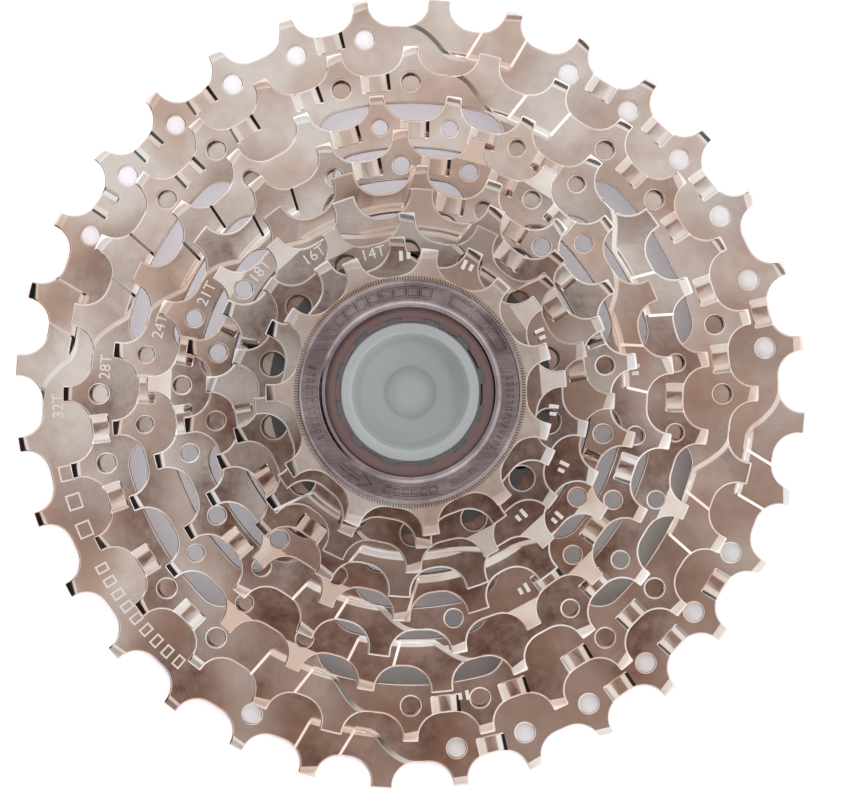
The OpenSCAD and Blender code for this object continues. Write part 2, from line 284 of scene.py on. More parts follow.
def gap(i, k):
    """The edge of the gap after tooth k, from its left corner to its right one. The tips' corners
    are rounded over three points."""
    tip, y = tip_r(i), root_r(i) + SEAT_R
    left = -SEAT_FLAT / 2 + flank_shift(i, k)[1]
    right = max(SEAT_FLAT / 2 - flank_shift(i, k + 1)[0], left + 0.2)
    seat = arc((left, y), SEAT_R, -90, -180, 9) + arc((right, y), SEAT_R, 180, 90, 9)
    seat = [p for p in seat if np.hypot(*p) < tip - 1.3 * TIP_CORNER]
    path = []
    for side, x in ((-1, left - SEAT_R), (1, right + SEAT_R)):
        corner = []
        for out, drop in ((1, 0), (0.3, 0.12), (0, 0.9)):
            u, r = x + side * out * TIP_CORNER, tip - drop * TIP_CORNER
            corner.append(np.array([u, math.sqrt(r * r - u * u)]))
        path.append(corner)
    return turned(path[0] + seat + path[1][::-1], tooth_at(i, k + 0.5))


def outline(i):
    """The outer edge of a sprocket."""
    points = []
    for k in range(TEETH[i]):
        points.append(spot(tooth_at(i, k), tip_r(i))[None])
        points.append(gap(i, k))
    return np.vstack(points)


def window(i, k):
    """The edge of the window between two arms, with its outer corners rounded."""
    r = WINDOW_R[i]
    start = ARM_AT[i] + ARM_SPAN[i] / 2 + k * 360 / ARMS
    stop = start + 360 / ARMS - ARM_SPAN[i]
    corner = min(WINDOW_ROUND, (r - HUB_RING_R) / 2.5)
    span = math.degrees(math.asin(corner / (r - corner)))
    return np.array(
        arc(spot(start + span, r - corner), corner, start - 90, start + span, 8)
        + arc((0, 0), r, start + span, stop - span, 14)[1:]
        + arc(spot(stop - span, r - corner), corner, stop - span, stop + 90, 8)[1:]
        + arc((0, 0), HUB_RING_R, stop, start, 14)
    )


def spline_bore(r=SPLINE_R, inner=TAB_R, widen=0.0):
    points = []
    for k in range(TABS):
        w = (NARROW_TAB_W if k == 0 else TAB_W) + widen
        at = k * 360 / TABS
        half_out = math.degrees(math.asin(w / 2 / r))
        half_in = math.degrees(math.asin(w / 2 / inner))
        points += [spot(at - half_out, r)] + arc((0, 0), inner, at - half_in, at + half_in, 5)
        next_w = (NARROW_TAB_W if k == TABS - 1 else TAB_W) + widen
        next_half = math.degrees(math.asin(next_w / 2 / r))
        points += arc((0, 0), r, at + half_out, at + 360 / TABS - next_half, 8)[:-1]
    return np.array(points)


def holes(i):
    """The edges of a sprocket's bore, round holes, windows and rivet holes."""
    out = [spline_bore()]
    out += [circle(spot(tooth_at(i, k), HOLE_CIRCLE_R[i]), HOLE_R[i]) for k in HOLED[i]]
    if WINDOW_R[i]:
        out += [window(i, k) for k in range(ARMS)]
    if i <= CLUSTER_FRONT:
        out += [circle(spot(k * 360 / RIVETS, RIVET_CIRCLE_R), RIVET_HOLE_R) for k in range(RIVETS)]
    return out


# ---- sprocket front faces
def slant(i, k):
    """Tip chamfers lean a little, one way or the other from tooth to tooth."""
    return CHAMFER_LEAN * math.sin(2.3 * k + 1.7 * i)


def curve_points(ramp, i):
    """The recess's edge, carried out past the tips at its start and along its inner end."""
    pts = [spot(a, r) for a, r in ramp["curve"]]
    start = ramp["curve"][0]
    line = smooth_line(pts)
    last = ramp["steps"][-1][0]
    end = ramp["curve"][-1]
    tail = [spot(end[0] + (last[0] + 1 - end[0]) * t, end[1]) for t in (0.25, 0.5, 0.75, 1)]
    lead = [spot(start[0], tip_r(i) + 1), spot(start[0], start[1] + 0.6)]
    return np.vstack([lead, line, tail])


def side_of(points, a, b):
    """Signed distance on the left of the line from a to b."""
    d = (b - a) / np.linalg.norm(b - a)
    return (points[:, 1] - a[1]) * d[0] - (points[:, 0] - a[0]) * d[1]


def ramp_relief(i, points):
    """Depth of the shift recesses."""
    ramp = RAMPS[i]
    out = np.zeros(len(points))
    if not ramp:
        return out
    curve = curve_points(ramp, i)
    low, high = ramp["curve"][0][0] - 2, ramp["steps"][-1][1][0] + 4
    inner = ramp["curve"][-1][1]
    for c in range(ramp["count"]):
        q = turned(points, -c * 360 / ramp["count"])
        mid = (low + high) / 2
        angle = (np.degrees(np.arctan2(q[:, 0], q[:, 1])) - mid + 180) % 360 - 180
        near = np.nonzero(np.abs(angle) < (high - low) / 2)[0]
        if len(near) == 0:
            continue
        p = q[near]
        gap_to = away_from(p, curve, closed=False)
        shape = np.vstack([curve, [spot(high + 1, inner), spot(high + 1, tip_r(i) + 6),
                                   spot(mid, tip_r(i) + 9), spot(low, tip_r(i) + 6)]])
        drop = CURVE_SLOPE * ramp01(gap_to / CURVE_SLOPE_W)
        drop += (1 - CURVE_SLOPE) * ramp01((gap_to - CURVE_SLOPE_W) / (CURVE_WALL - CURVE_SLOPE_W))
        wall = np.where(inside(p, shape), drop, 0)
        levels = [RAMP_DEEP * RAMP_SINGLE]
        if len(ramp["steps"]) == 2:
            levels = [RAMP_DEEP - RAMP_SHALLOW, RAMP_SHALLOW]
        depth = np.zeros(len(p))
        for level, (a, b) in zip(levels, ramp["steps"]):
            depth += level * ramp01(side_of(p, spot(*a), spot(*b)) / STEP_WALL)
        fade = smooth01((np.hypot(p[:, 0], p[:, 1]) - inner) / RAMP_FADE)
        out[near] = np.maximum(out[near], depth * wall * fade)
    return out


def tooth_relief(i, points):
    """Depth of the chamfers, bevels and scoops."""
    n = TEETH[i]
    r = np.hypot(points[:, 0], points[:, 1])
    theta = np.degrees(np.arctan2(points[:, 0], points[:, 1]))
    k = np.round((theta - PHASE[i]) * n / 360)
    local = np.radians(theta - PHASE[i] - k * 360 / n)
    u, v, k = r * np.sin(local), r * np.cos(local), k.astype(int) % n
    lean = np.array([slant(i, j) for j in range(n)])[k]
    up = np.maximum(v - (tip_r(i) - CHAMFER_W) - lean * u, 0) / CHAMFER_W
    chamfer = CHAMFER_H * (CHAMFER_FLAT * up + (1 - CHAMFER_FLAT) * up ** 2)
    chamfer[np.isin(k, PLAIN[i] + BEVELLED[i])] = 0
    bevel = BEVEL_SLOPE * np.maximum(v - root_r(i) - BEVEL_START, 0)
    bevel[~np.isin(k, BEVELLED[i])] = 0
    g = np.floor((theta - PHASE[i]) * n / 360)
    local = np.radians(theta - PHASE[i] - (g + 0.5) * 360 / n)
    u, v, g = r * np.sin(local), r * np.cos(local), g.astype(int) % n
    scoop = SCOOP_DEPTH * np.maximum(1 - np.abs(2 * u / SCOOP_W) ** 3, 0) * ramp01(
        (v - root_r(i) + SCOOP_REACH) / SCOOP_WALL)
    scoop[~np.isin(g, SCOOPED[i])] = 0
    return np.maximum(np.maximum(chamfer, bevel), scoop)


def feature_lines(i):
    """The creases of the front face, as (points, is it a sharp crease)."""
    n, root, tip = TEETH[i], root_r(i), tip_r(i)
    lines = []
    for k in range(n):
        if k in BEVELLED[i]:
            y = root + BEVEL_START
            lines.append((turned([(-5.4, y), (5.4, y)], tooth_at(i, k)), True))
        elif k not in PLAIN[i]:
            y, lean = tip - CHAMFER_W, slant(i, k)
            half = 3.4
            for share in (0, 0.25, 0.5, 0.75):
                low = y + share * CHAMFER_W
                ends = [(-half, low - lean * half), (half, low + lean * half)]
                lines.append((turned(ends, tooth_at(i, k)), share == 0))
    for k in SCOOPED[i]:
        at, half = tooth_at(i, k + 0.5), SCOOP_W / 2
        low = root - SCOOP_REACH
        for s in (-1, -0.88, -0.74, -0.58, -0.3, 0.3, 0.58, 0.74, 0.88, 1):
            lines.append((turned([(s * half, low), (s * half, root + 0.8)], at), abs(s) == 1))
        for y in (low, low + SCOOP_WALL):
            lines.append((turned([(-half, y), (half, y)], at), True))
    ramp = RAMPS[i]
    if ramp:
        curve = curve_points(ramp, i)
        walls = [curve - w * right_normals(curve) for w in (CURVE_SLOPE_W, CURVE_WALL)]
        inner = ramp["curve"][-1][1]
        first, last = ramp["curve"][0][0], ramp["steps"][-1][1][0]
        for c in range(ramp["count"]):
            at = c * 360 / ramp["count"]
            lines.append((turned(curve, at), True))
            lines += [(turned(wall[2:], at), True) for wall in walls]
            for a, b in ramp["steps"]:
                a, b = spot(*a), spot(*b)
                d = (b - a) / np.linalg.norm(b - a)
                left = np.array([-d[1], d[0]]) * STEP_WALL
                ends = np.array([a - d * 1.2, b + d * 6])
                lines.append((turned(ends, at), True))
                lines.append((turned(ends + left, at), True))
            for t in (0.15, 0.35, 0.6, 0.85, 1):
                r = inner + RAMP_FADE * t
                lines.append((turned(arc((0, 0), r, first, last, 16), at), False))
    return lines


def triangulate(lines, keep):
    """Triangulates the plane along the lines, and keeps the triangles that keep() wants.
    Returns the points, the triangles (counter-clockwise) and the sharp edges."""
    coords, edges, sharp_from = [], [], set()
    for points, closed, sharp in lines:
        base = len(coords)
        coords += [Vector((float(x), float(y))) for x, y in points]
        count = len(points)
        for k in range(count if closed else count - 1):
            if sharp:
                sharp_from.add(len(edges))
            edges.append((base + k, base + (k + 1) % count))
    verts, out_edges, faces, _, edge_ids, _ = delaunay_2d_cdt(coords, edges, [], 0, 1e-5, True)
    p = np.array([(v.x, v.y) for v in verts])
    f = np.array([tuple(t) for t in faces])
    f = f[keep(p[f].mean(axis=1))]
    sharp = {tuple(sorted(e)) for e, ids in zip(out_edges, edge_ids) if sharp_from.intersection(ids)}
    return p, f, sharp


def boundary_loops(faces):
    """The directed rims of a triangle mesh, each as a list of points' indexes."""
    follows = {}
    edges = set()
    for a, b, c in faces.tolist():
        edges.update(((a, b), (b, c), (c, a)))
    for a, b in edges:
        if (b, a) not in edges:
            follows.setdefault(a, []).append(b)
    loops = []
    while follows:
        start = next(iter(follows))
        loop, at = [], start
        while at in follows:
            loop.append(at)
            following = follows[at].pop()
            if not follows[at]:
                del follows[at]
            at = following
        loops.append(loop)
    return loops


def plate_mesh(i):
    """Points, faces and sharp edges of one sprocket, in its own height from 0 to PLATE_T."""
    edge, inner = outline(i), holes(i)
    lines = [(edge, True, False)]
    for t in ROLL_RINGS:
        lines.append((grown(edge, -ROLL * t), True, False))
    for hole in inner:
        lines.append((hole, True, False))
        for t in ROLL_RINGS:
            lines.append((grown(hole, ROLL * t), True, False))
    lines += [(points, False, sharp) for points, sharp in feature_lines(i)]

    def in_plate(points):
        good = inside(points, edge)
        for hole in inner:
            centre = hole.mean(axis=0)
            reach = np.max(np.linalg.norm(hole - centre, axis=1))
            near = np.nonzero(good & (np.linalg.norm(points - centre, axis=1) < reach))[0]
            good[near[inside(points[near], hole)]] = False
        return good

    p, top, sharp = triangulate(lines, in_plate)
    used = np.unique(top)
    rim = away_from(p[used], edge)
    for hole in inner:
        near = np.nonzero(np.linalg.norm(p[used] - hole.mean(axis=0), axis=1)
                          < np.max(np.linalg.norm(hole - hole.mean(axis=0), axis=1)) + 1)[0]
        rim[near] = np.minimum(rim[near], away_from(p[used][near], hole))
    z = np.zeros(len(p))
    roll = ROLL_DEPTH * (1 - np.sqrt(np.maximum(1 - (1 - ramp01(rim / ROLL)) ** 2, 0)))
    relief = np.minimum(ramp_relief(i, p[used]) + tooth_relief(i, p[used]), PLATE_T - LEAST_T)
    z[used] = PLATE_T - relief - roll

    points = [(x, y, h) for (x, y), h in zip(p, z)]
    faces = [tuple(t) for t in top.tolist()]
    back_lines = []
    for loop in boundary_loops(top):
        flat = p[loop]
        # The material is on the left of every rim, so the left is inwards.
        shrunk = grown(flat, -BACK_BEVEL) if area(flat) > 0 else grown(flat, BACK_BEVEL)
        low, base = len(points), len(points) + len(loop)
        points += [(x, y, BACK_BEVEL) for x, y in flat]
        points += [(x, y, 0.0) for x, y in shrunk]
        for k in range(len(loop)):
            m = (k + 1) % len(loop)
            faces.append((loop[m], loop[k], low + k, low + m))
            faces.append((low + m, low + k, base + k, base + m))
        back_lines.append((base, shrunk))
    coords = [(s, True, False) for _, s in back_lines]
    index = np.concatenate([np.arange(len(s)) + base for base, s in back_lines])

    def in_back(c):
        good = np.zeros(len(c), bool)
        for _, s in back_lines:
            good ^= inside(c, s)
        return good

    q, back, _ = triangulate(coords, in_back)
    # Where two bevelled rims meet, the triangles need a point of their own.
    extra = len(points)
    points += [(x, y, 0.0) for x, y in q[len(index):]]
    order = np.concatenate([index, np.arange(extra, len(points))]).astype(int)
    faces += [(int(order[a]), int(order[c]), int(order[b])) for a, b, c in back.tolist()]
    return points, faces, sharp


def finish_mesh(name, points, faces, sharp=(), limit=40, lift=0.0, weld=0.0):
    """Makes an object of points in millimetres. Edges turning more than limit degrees are sharp."""
    mesh = bpy.data.meshes.new(name)
    mesh.from_pydata([(x * MM, y * MM, (z + lift) * MM) for x, y, z in points], [], faces)
    obj = bpy.data.objects.new(name, mesh)
    bpy.context.collection.objects.link(obj)
    bm = bmesh.new()
    bm.from_mesh(mesh)
    bm.verts.ensure_lookup_table()
    bmesh.ops.delete(bm, geom=[v for v in bm.verts if not v.link_faces], context="VERTS")
    if weld:
        bmesh.ops.remove_doubles(bm, verts=bm.verts[:], dist=weld * MM)
    for face in bm.faces:
        face.smooth = True
    turn = math.radians(limit)
    for edge in bm.edges:
        edge.smooth = len(edge.link_faces) == 2 and edge.calc_face_angle(0) < turn
    bm.to_mesh(mesh)
    bm.free()
    if sharp:
        mark_sharp(mesh, points, sharp, lift)
    normals = obj.modifiers.new("even_faces", "WEIGHTED_NORMAL")
    normals.keep_sharp = True
    normals.weight = 100
    return obj


def mark_sharp(mesh, points, sharp, lift):
    """Marks the creases, found again by where their ends are."""
    def key(x, y, z):
        return round(x / MM, 3), round(y / MM, 3), round(z / MM, 3)

    def point_key(n):
        x, y, z = points[n]
        return key(x * MM, y * MM, (z + lift) * MM)

    ends = {(point_key(a), point_key(b)) for a, b in sharp}
    ends |= {(b, a) for a, b in ends}
    flag = mesh.attributes.get("sharp_edge") or mesh.attributes.new("sharp_edge", "BOOLEAN", "EDGE")
    keys = [key(*v.co) for v in mesh.vertices]
    for edge in mesh.edges:
        a, b = edge.vertices
        if (keys[a], keys[b]) in ends:
            flag.data[edge.index].value = True


def ring_grid(rings, closed=False):
    """Points and quads of rings of equal length, each a list of (x, y, z). Faces look outwards
    if the rings go up with the points counter-clockwise."""
    count = len(rings[0])
    points = [p for ring in rings for p in ring]
    faces = []
    total = len(rings) if closed else len(rings) - 1
    for j in range(total):
        a, b = j * count, ((j + 1) % len(rings)) * count
        for k in range(count):
            m = (k + 1) % count
            faces.append((a + k, a + m, b + m, b + k))
    return points, faces


def lathe(profile, steps, shape=None):
    """Turns a closed profile of (r, z) points round +Z. shape may move a point: (r, z, angle) to
    (r, z). The profile goes counter-clockwise in the (r, z) plane, so faces look outwards."""
    rings = []
    for r, z in profile:
        ring = []
        for k in range(steps):
            a = 360 * k / steps
            rr, zz = shape(r, z, a) if shape else (r, z)
            ring.append((rr * math.cos(math.radians(a)), rr * math.sin(math.radians(a)), zz))
        rings.append(ring)
    return ring_grid(rings, closed=True)


def joined(*meshes):
    points, faces = [], []
    for p, f in meshes:
        base = len(points)
        points += list(p)
        faces += [tuple(v + base for v in face) for face in f]
    return points, faces


# ---- materials
def new_material(name):
    mat = bpy.data.materials.new(name)
    mat.use_nodes = True
    nodes, links = mat.node_tree.nodes, mat.node_tree.links
    nodes.clear()
    out = nodes.new("ShaderNodeOutputMaterial")
    shader = nodes.new("ShaderNodeBsdfPrincipled")
    links.new(shader.outputs["BSDF"], out.inputs["Surface"])
    return mat, nodes, links, shader


def noise(nodes, links, scale, detail=3.0, rough=0.55, stretch=(1, 1, 1), offset=(0, 0, 0)):
    """A noise in object coordinates. scale is features per metre."""
    where = nodes.new("ShaderNodeTexCoord")
    place = nodes.new("ShaderNodeMapping")
    place.inputs["Scale"].default_value = stretch
    place.inputs["Location"].default_value = offset
    tex = nodes.new("ShaderNodeTexNoise")
    tex.inputs["Scale"].default_value = scale
    tex.inputs["Detail"].default_value = detail
    tex.inputs["Roughness"].default_value = rough
    links.new(where.outputs["Object"], place.inputs["Vector"])
    links.new(place.outputs["Vector"], tex.inputs["Vector"])
    return tex


def ramp(nodes, links, source, stops):
    node = nodes.new("ShaderNodeValToRGB")
    cr = node.color_ramp
    while len(cr.elements) > 1:
        cr.elements.remove(cr.elements[-1])
    cr.elements[0].position = stops[0][0]
    cr.elements[0].color = (*stops[0][1], 1)
    for position, colour in stops[1:]:
        element = cr.elements.new(position)
        element.color = (*colour, 1)
    links.new(source, node.inputs["Fac"])
    return node


def spread(nodes, links, source, low, high):
    node = nodes.new("ShaderNodeMapRange")
    node.inputs["From Min"].default_value = 0.3
    node.inputs["From Max"].default_value = 0.7
    node.inputs["To Min"].default_value = low
    node.inputs["To Max"].default_value = high
    links.new(source, node.inputs["Value"])
    return node


def bump(nodes, links, shader, heights, distance):
    node = nodes.new("ShaderNodeBump")
    node.inputs["Strength"].default_value = 1.0
    node.inputs["Distance"].default_value = distance
    links.new(heights, node.inputs["Height"])
    links.new(node.outputs["Normal"], shader.inputs["Normal"])
    return node


def math_node(nodes, links, operation, *inputs, clamp=False):
    node = nodes.new("ShaderNodeMath")
    node.operation = operation
    node.use_clamp = clamp
    for k, value in enumerate(inputs):
        if isinstance(value, (int, float)):
            node.inputs[k].default_value = value
        else:
            links.new(value, node.inputs[k])
    return node.outputs[0]


def mixed(nodes, links, factor, a, b):
    node = nodes.new("ShaderNodeMix")
    node.data_type = "RGBA"
    links.new(factor, node.inputs["Factor"])
    for socket, value in ((node.inputs[6], a), (node.inputs[7], b)):
        if isinstance(value, tuple):
            socket.default_value = (*value, 1)
        else:
            links.new(value, socket)
    return node.outputs[2]


def smooth_step(nodes, links, source, low, high):
    node = nodes.new("ShaderNodeMapRange")
    node.interpolation_type = "SMOOTHSTEP"
    node.inputs["From Min"].default_value = low
    node.inputs["From Max"].default_value = high
    links.new(source, node.inputs["Value"])
    return node.outputs["Result"]


def nickel(name, light, dark, offset, rough=(0.07, 0.13)):
    """Bright nickel plate over pressed steel: clouds of tint, slow waves and a fine orange peel."""
    mat, nodes, links, shader = new_material(name)
    shader.inputs["Metallic"].default_value = 1.0
    clouds = noise(nodes, links, 45, 4.0, 0.6, offset=offset)
    tint = ramp(nodes, links, clouds.outputs["Fac"], [(0.40, dark), (0.60, light)])
    links.new(tint.outputs["Color"], shader.inputs["Base Color"])
    grain = noise(nodes, links, 420, 4.0, 0.65, offset=offset)
    level = spread(nodes, links, grain.outputs["Fac"], *rough)
    links.new(level.outputs["Result"], shader.inputs["Roughness"])
    waves = noise(nodes, links, 55, 0.0, 0.5, offset=offset)
    slow = bump(nodes, links, shader, waves.outputs["Fac"], 0.00030)
    peel = noise(nodes, links, 900, 3.0, 0.6, offset=offset)
    fine = bump(nodes, links, shader, peel.outputs["Fac"], 0.0000022)
    links.new(slow.outputs["Normal"], fine.inputs["Normal"])
    return mat


def plastic(name, light, dark, rough=(0.45, 0.6), subsurface_and_glow=0.0):
    mat, nodes, links, shader = new_material(name)
    clouds = noise(nodes, links, 60, 3.0, 0.5)
    tint = ramp(nodes, links, clouds.outputs["Fac"], [(0.35, dark), (0.65, light)])
    links.new(tint.outputs["Color"], shader.inputs["Base Color"])
    grain = noise(nodes, links, 1500, 3.0, 0.6)
    level = spread(nodes, links, grain.outputs["Fac"], *rough)
    links.new(level.outputs["Result"], shader.inputs["Roughness"])
    bump(nodes, links, shader, grain.outputs["Fac"], 0.000003 if subsurface_and_glow else 0.000012)
    if subsurface_and_glow:
        # Painted glow: the plastic emits a little of its light tint, for light carried through it into
        # shaded hollows such as the lockring's notches.
        shader.inputs["Emission Color"].default_value = (*light, 1)
        shader.inputs["Emission Strength"].default_value = 0.12
        shader.inputs["Subsurface Weight"].default_value = subsurface_and_glow
        shader.inputs["Subsurface Radius"].default_value = (0.004, 0.005, 0.005)
    return mat


# Painted dark reflection: the lockring takes this colour inside its ridge, for the dark surroundings its
# inner slope reflects.
PAINTED_DARK_REFLECTION = (0.17, 0.115, 0.115)


def axis_distance(nodes, links):
    """The distance from the axle, in metres."""
    where = nodes.new("ShaderNodeTexCoord")
    flat = nodes.new("ShaderNodeVectorMath")
    flat.operation = "MULTIPLY"
    flat.inputs[1].default_value = (1, 1, 0)
    links.new(where.outputs["Object"], flat.inputs[0])
    reach = nodes.new("ShaderNodeVectorMath")
    reach.operation = "LENGTH"
    links.new(flat.outputs["Vector"], reach.inputs[0])
    return reach.outputs["Value"]


def turned_steel(name, light, dark, rough=(0.2, 0.38), painted_dark_inside=0.0):
    """Lathe-turned steel with fine scratches both ways, with a painted dark reflection inside the given
    radius.
    """
    mat, nodes, links, shader = new_material(name)
    shader.inputs["Metallic"].default_value = 1.0
    clouds = noise(nodes, links, 120, 4.0, 0.6)
    tint = ramp(nodes, links, clouds.outputs["Fac"], [(0.35, dark), (0.65, light)])
    links.new(tint.outputs["Color"], shader.inputs["Base Color"])
    if painted_dark_inside:
        bright = smooth_step(nodes, links, axis_distance(nodes, links), painted_dark_inside - 0.0003, painted_dark_inside)
        shade = mixed(nodes, links, bright, PAINTED_DARK_REFLECTION, tint.outputs["Color"])
        links.new(shade, shader.inputs["Base Color"])
    scratch = noise(nodes, links, 260, 5.0, 0.7, stretch=(1, 6, 1))
    level = spread(nodes, links, scratch.outputs["Fac"], *rough)
    links.new(level.outputs["Result"], shader.inputs["Roughness"])
    bump(nodes, links, shader, scratch.outputs["Fac"], 0.00002)
    return mat


def dress(obj, mat, slot, body, *replaced):
    obj.data.materials.clear()
    obj.data.materials.append(mat)
    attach(obj, body)
    if replaced:
        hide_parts(*replaced)
    return obj


# ---- sprockets
# The smallest sprocket's radial serrations and the boss behind it
SERRATIONS = 132
SERRATION_R = (17.6, 18.55)
SERRATION_H = 0.4
SERRATION_FOOT = 0.04
BOSS_R = 18.4


def serrated_ring(z):
    """Radial serrations on a flat ring at height z, which the ring reaches a little below."""
    low_r, high_r = SERRATION_R
    rise = [SERRATION_FOOT, SERRATION_FOOT, 1, 1]
    steps = SERRATIONS * len(rise)
    rings = []
    for r, up in ((low_r, False), (low_r, True), (high_r, True), (high_r, False)):
        ring = []
        for k in range(steps):
            a = math.radians(360 * k / steps)
            h = z + (SERRATION_H * rise[k % len(rise)] if up else -0.3)
            ring.append((r * math.cos(a), r * math.sin(a), h))
        rings.append(ring)
    return ring_grid(rings[::-1], closed=True)


def make_cog(i, mat):
    points, faces, sharp = plate_mesh(i)
    if COGS[i] == "sprocket_11t":
        bore = spline_bore()
        angles = [math.degrees(math.atan2(x, y)) for x, y in bore]
        ring = [spot(a, BOSS_R) for a in angles]
        low = PLATE_T - STEP
        # The boss behind the plate: outer wall up, bore wall down.
        steps = [(bore, 1, low), (bore, 1, 0.2), (ring, 1, 0.2), (ring, 1, low + 0.2), (ring, 0.99, low)]
        boss = ring_grid([[(x * s, y * s, z) for x, y in loop] for loop, s, z in steps], closed=True)
        points, faces = joined((points, faces), boss, serrated_ring(PLATE_T))
    obj = finish_mesh("cog_%d" % TEETH[i], points, faces, sharp, lift=BACK_Z[i])
    return dress(obj, mat, "sprocket_nickel", "stack", COGS[i])


# ---- lockring
NOTCHES = 12
NOTCH_AT = 17
NOTCH_R = 12.0
NOTCH_W = 2.6
BORE_R = 11.3
THROAT_R = 12.8
THREAD_R = 15.3
THREAD_DEPTH = 0.55
THREAD_PITCH = 1.058
RIDGE_R = 13.8
MARK_DEPTH = 0.2
MARK_R = 15.95
MARK_LINE = 0.28
LOCK_LOW, LOCK_HIGH = [c.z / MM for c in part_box("lockring")]
FLANGE_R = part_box("lockring")[1].x / MM
FLANGE_TOP = LOCK_HIGH - 0.4
FLANGE_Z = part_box("lockring_washer")[1].z / MM
NOTCH_RING_Z = FLANGE_Z - 1.6
# Plain marks stamped in the flange: first and last angle, how many, half width and half height,
# and whether they are open frames or solid bars
MARKS = [
    (-44, 9, 8, 1.0, 0.85, True), (31, 58, 3, 2.1, 0.95, True), (82, 124, 13, 0.16, 0.5, False),
    (141, 154, 4, 0.5, 0.5, True), (167, 193, 6, 0.75, 0.65, True), (243, 284, 12, 0.18, 0.55, False),
]
ARROW_AT = 214


def mark_depth(angle, r):
    """How deep the flange's stamped marks are at each point, from 0 to 1."""
    v = r - MARK_R
    deep = np.zeros(np.broadcast(angle, r).shape)
    for first, last, count, half_w, half_h, frame_only in MARKS:
        for at in np.linspace(first, last, count):
            u = np.radians((angle - at + 180) % 360 - 180) * MARK_R
            d = np.maximum(np.abs(u) - half_w, np.abs(v) - half_h)
            deep = np.maximum(deep, (d < 0) & ((d > -MARK_LINE) | (not frame_only)))
    u = np.radians((angle - ARROW_AT + 180) % 360 - 180) * MARK_R
    shaft = (np.abs(v) < 0.3) & (u > -1.2) & (u < 3)
    head = (np.abs(v) < 0.55 * (u + 3.2)) & (u < -1.2)
    return np.maximum(deep, shaft | head)


def lockring_rings(steps):
    """Rings of (x, y, z) points from the thread's end round the outside and back up the bore."""
    share = np.arange(steps) / steps
    angle = (90 - share * 360) % 360
    ones = np.ones(steps)
    rows = [(THROAT_R * ones, LOCK_LOW), ((THREAD_R - THREAD_DEPTH - 0.1) * ones, LOCK_LOW)]
    levels = 48
    top = FLANGE_Z - 0.25
    for k in range(levels):
        z = LOCK_LOW + 0.05 + (top - LOCK_LOW - 0.05) * k / (levels - 1)
        wave = (z / THREAD_PITCH - share) % 1
        fade = min(1, (z - LOCK_LOW) / 0.6, (top - z) / 0.5 + 0.1)
        r = THREAD_R - THREAD_DEPTH + THREAD_DEPTH * fade * (1 - np.abs(2 * wave - 1))
        rows.append((r, z))
    outside = [(THREAD_R - 0.2, FLANGE_Z), (FLANGE_R - 0.25, FLANGE_Z),
               (FLANGE_R - 0.07, FLANGE_Z + 0.07), (FLANGE_R, FLANGE_Z + 0.25),
               (FLANGE_R, FLANGE_TOP - 0.35), (FLANGE_R - 0.08, FLANGE_TOP - 0.12),
               (FLANGE_R - 0.3, FLANGE_TOP), (FLANGE_R - 0.45, FLANGE_TOP)]
    rows += [(r * ones, z) for r, z in outside]
    for r in np.linspace(FLANGE_R - 0.55, RIDGE_R + 0.72, 30):
        rows.append((r * ones, FLANGE_TOP - 0.08 - MARK_DEPTH * mark_depth(angle, r * ones)))
    inside_rows = [(RIDGE_R + 0.55, FLANGE_TOP + 0.04), (RIDGE_R + 0.36, FLANGE_TOP + 0.30),
                   (RIDGE_R + 0.15, LOCK_HIGH - 0.02), (RIDGE_R, LOCK_HIGH),
                   (RIDGE_R - 0.2, LOCK_HIGH - 0.05),
                   (RIDGE_R - 0.45, FLANGE_TOP - 0.05), (RIDGE_R - 0.5, FLANGE_TOP - 0.25),
                   (NOTCH_R + 0.12, FLANGE_TOP - 0.3), (NOTCH_R + 0.02, FLANGE_TOP - 0.36),
                   (NOTCH_R - 0.1, FLANGE_TOP - 0.36), (BORE_R + 0.12, FLANGE_TOP - 0.45),
                   (BORE_R, FLANGE_TOP - 0.57), (BORE_R, NOTCH_RING_Z + 0.1),
                   (BORE_R + 0.1, NOTCH_RING_Z), (THROAT_R, NOTCH_RING_Z)]
    middle = np.round((angle - NOTCH_AT) * NOTCHES / 360) * 360 / NOTCHES + NOTCH_AT
    off = np.radians((angle - middle + 180) % 360 - 180)
    for r, z in inside_rows:
        cut = (np.abs(np.sin(off)) * r < NOTCH_W / 2) & (r < NOTCH_R)
        rows.append((np.where(cut, NOTCH_R, r), z))
    a = 2 * np.pi * share
    return [np.column_stack([r * np.cos(a), r * np.sin(a), z * ones]).tolist() for r, z in rows]


def make_lockring(mat):
    points, faces = ring_grid(lockring_rings(1080), closed=True)
    obj = finish_mesh("locking_ring", points, faces, limit=38)
    return dress(obj, mat, "lockring_steel", "lockring", "lockring")


# ---- shipping core
CORE_GAP = 0.25
CORE_R = SPLINE_R - CORE_GAP
CORE_GROOVE_R = TAB_R - CORE_GAP
NOSE_R = 11.05
NOSE_BORE_R = 9.3
TUBE_R = 14.4
SOCKET_R = THREAD_R + 0.05
LEDGE_R = 12.3


def rounded(corner, before, after, r, steps=4):
    """A rounded corner of a profile, between the points before and after it."""
    c, a, b = np.array(corner), np.array(before), np.array(after)
    start = c + (a - c) / np.linalg.norm(a - c) * r
    stop = c + (b - c) / np.linalg.norm(b - c) * r
    out = []
    for k in range(steps + 1):
        t = k / steps
        out.append(tuple((1 - t) ** 2 * start + 2 * t * (1 - t) * c + t ** 2 * stop))
    return out


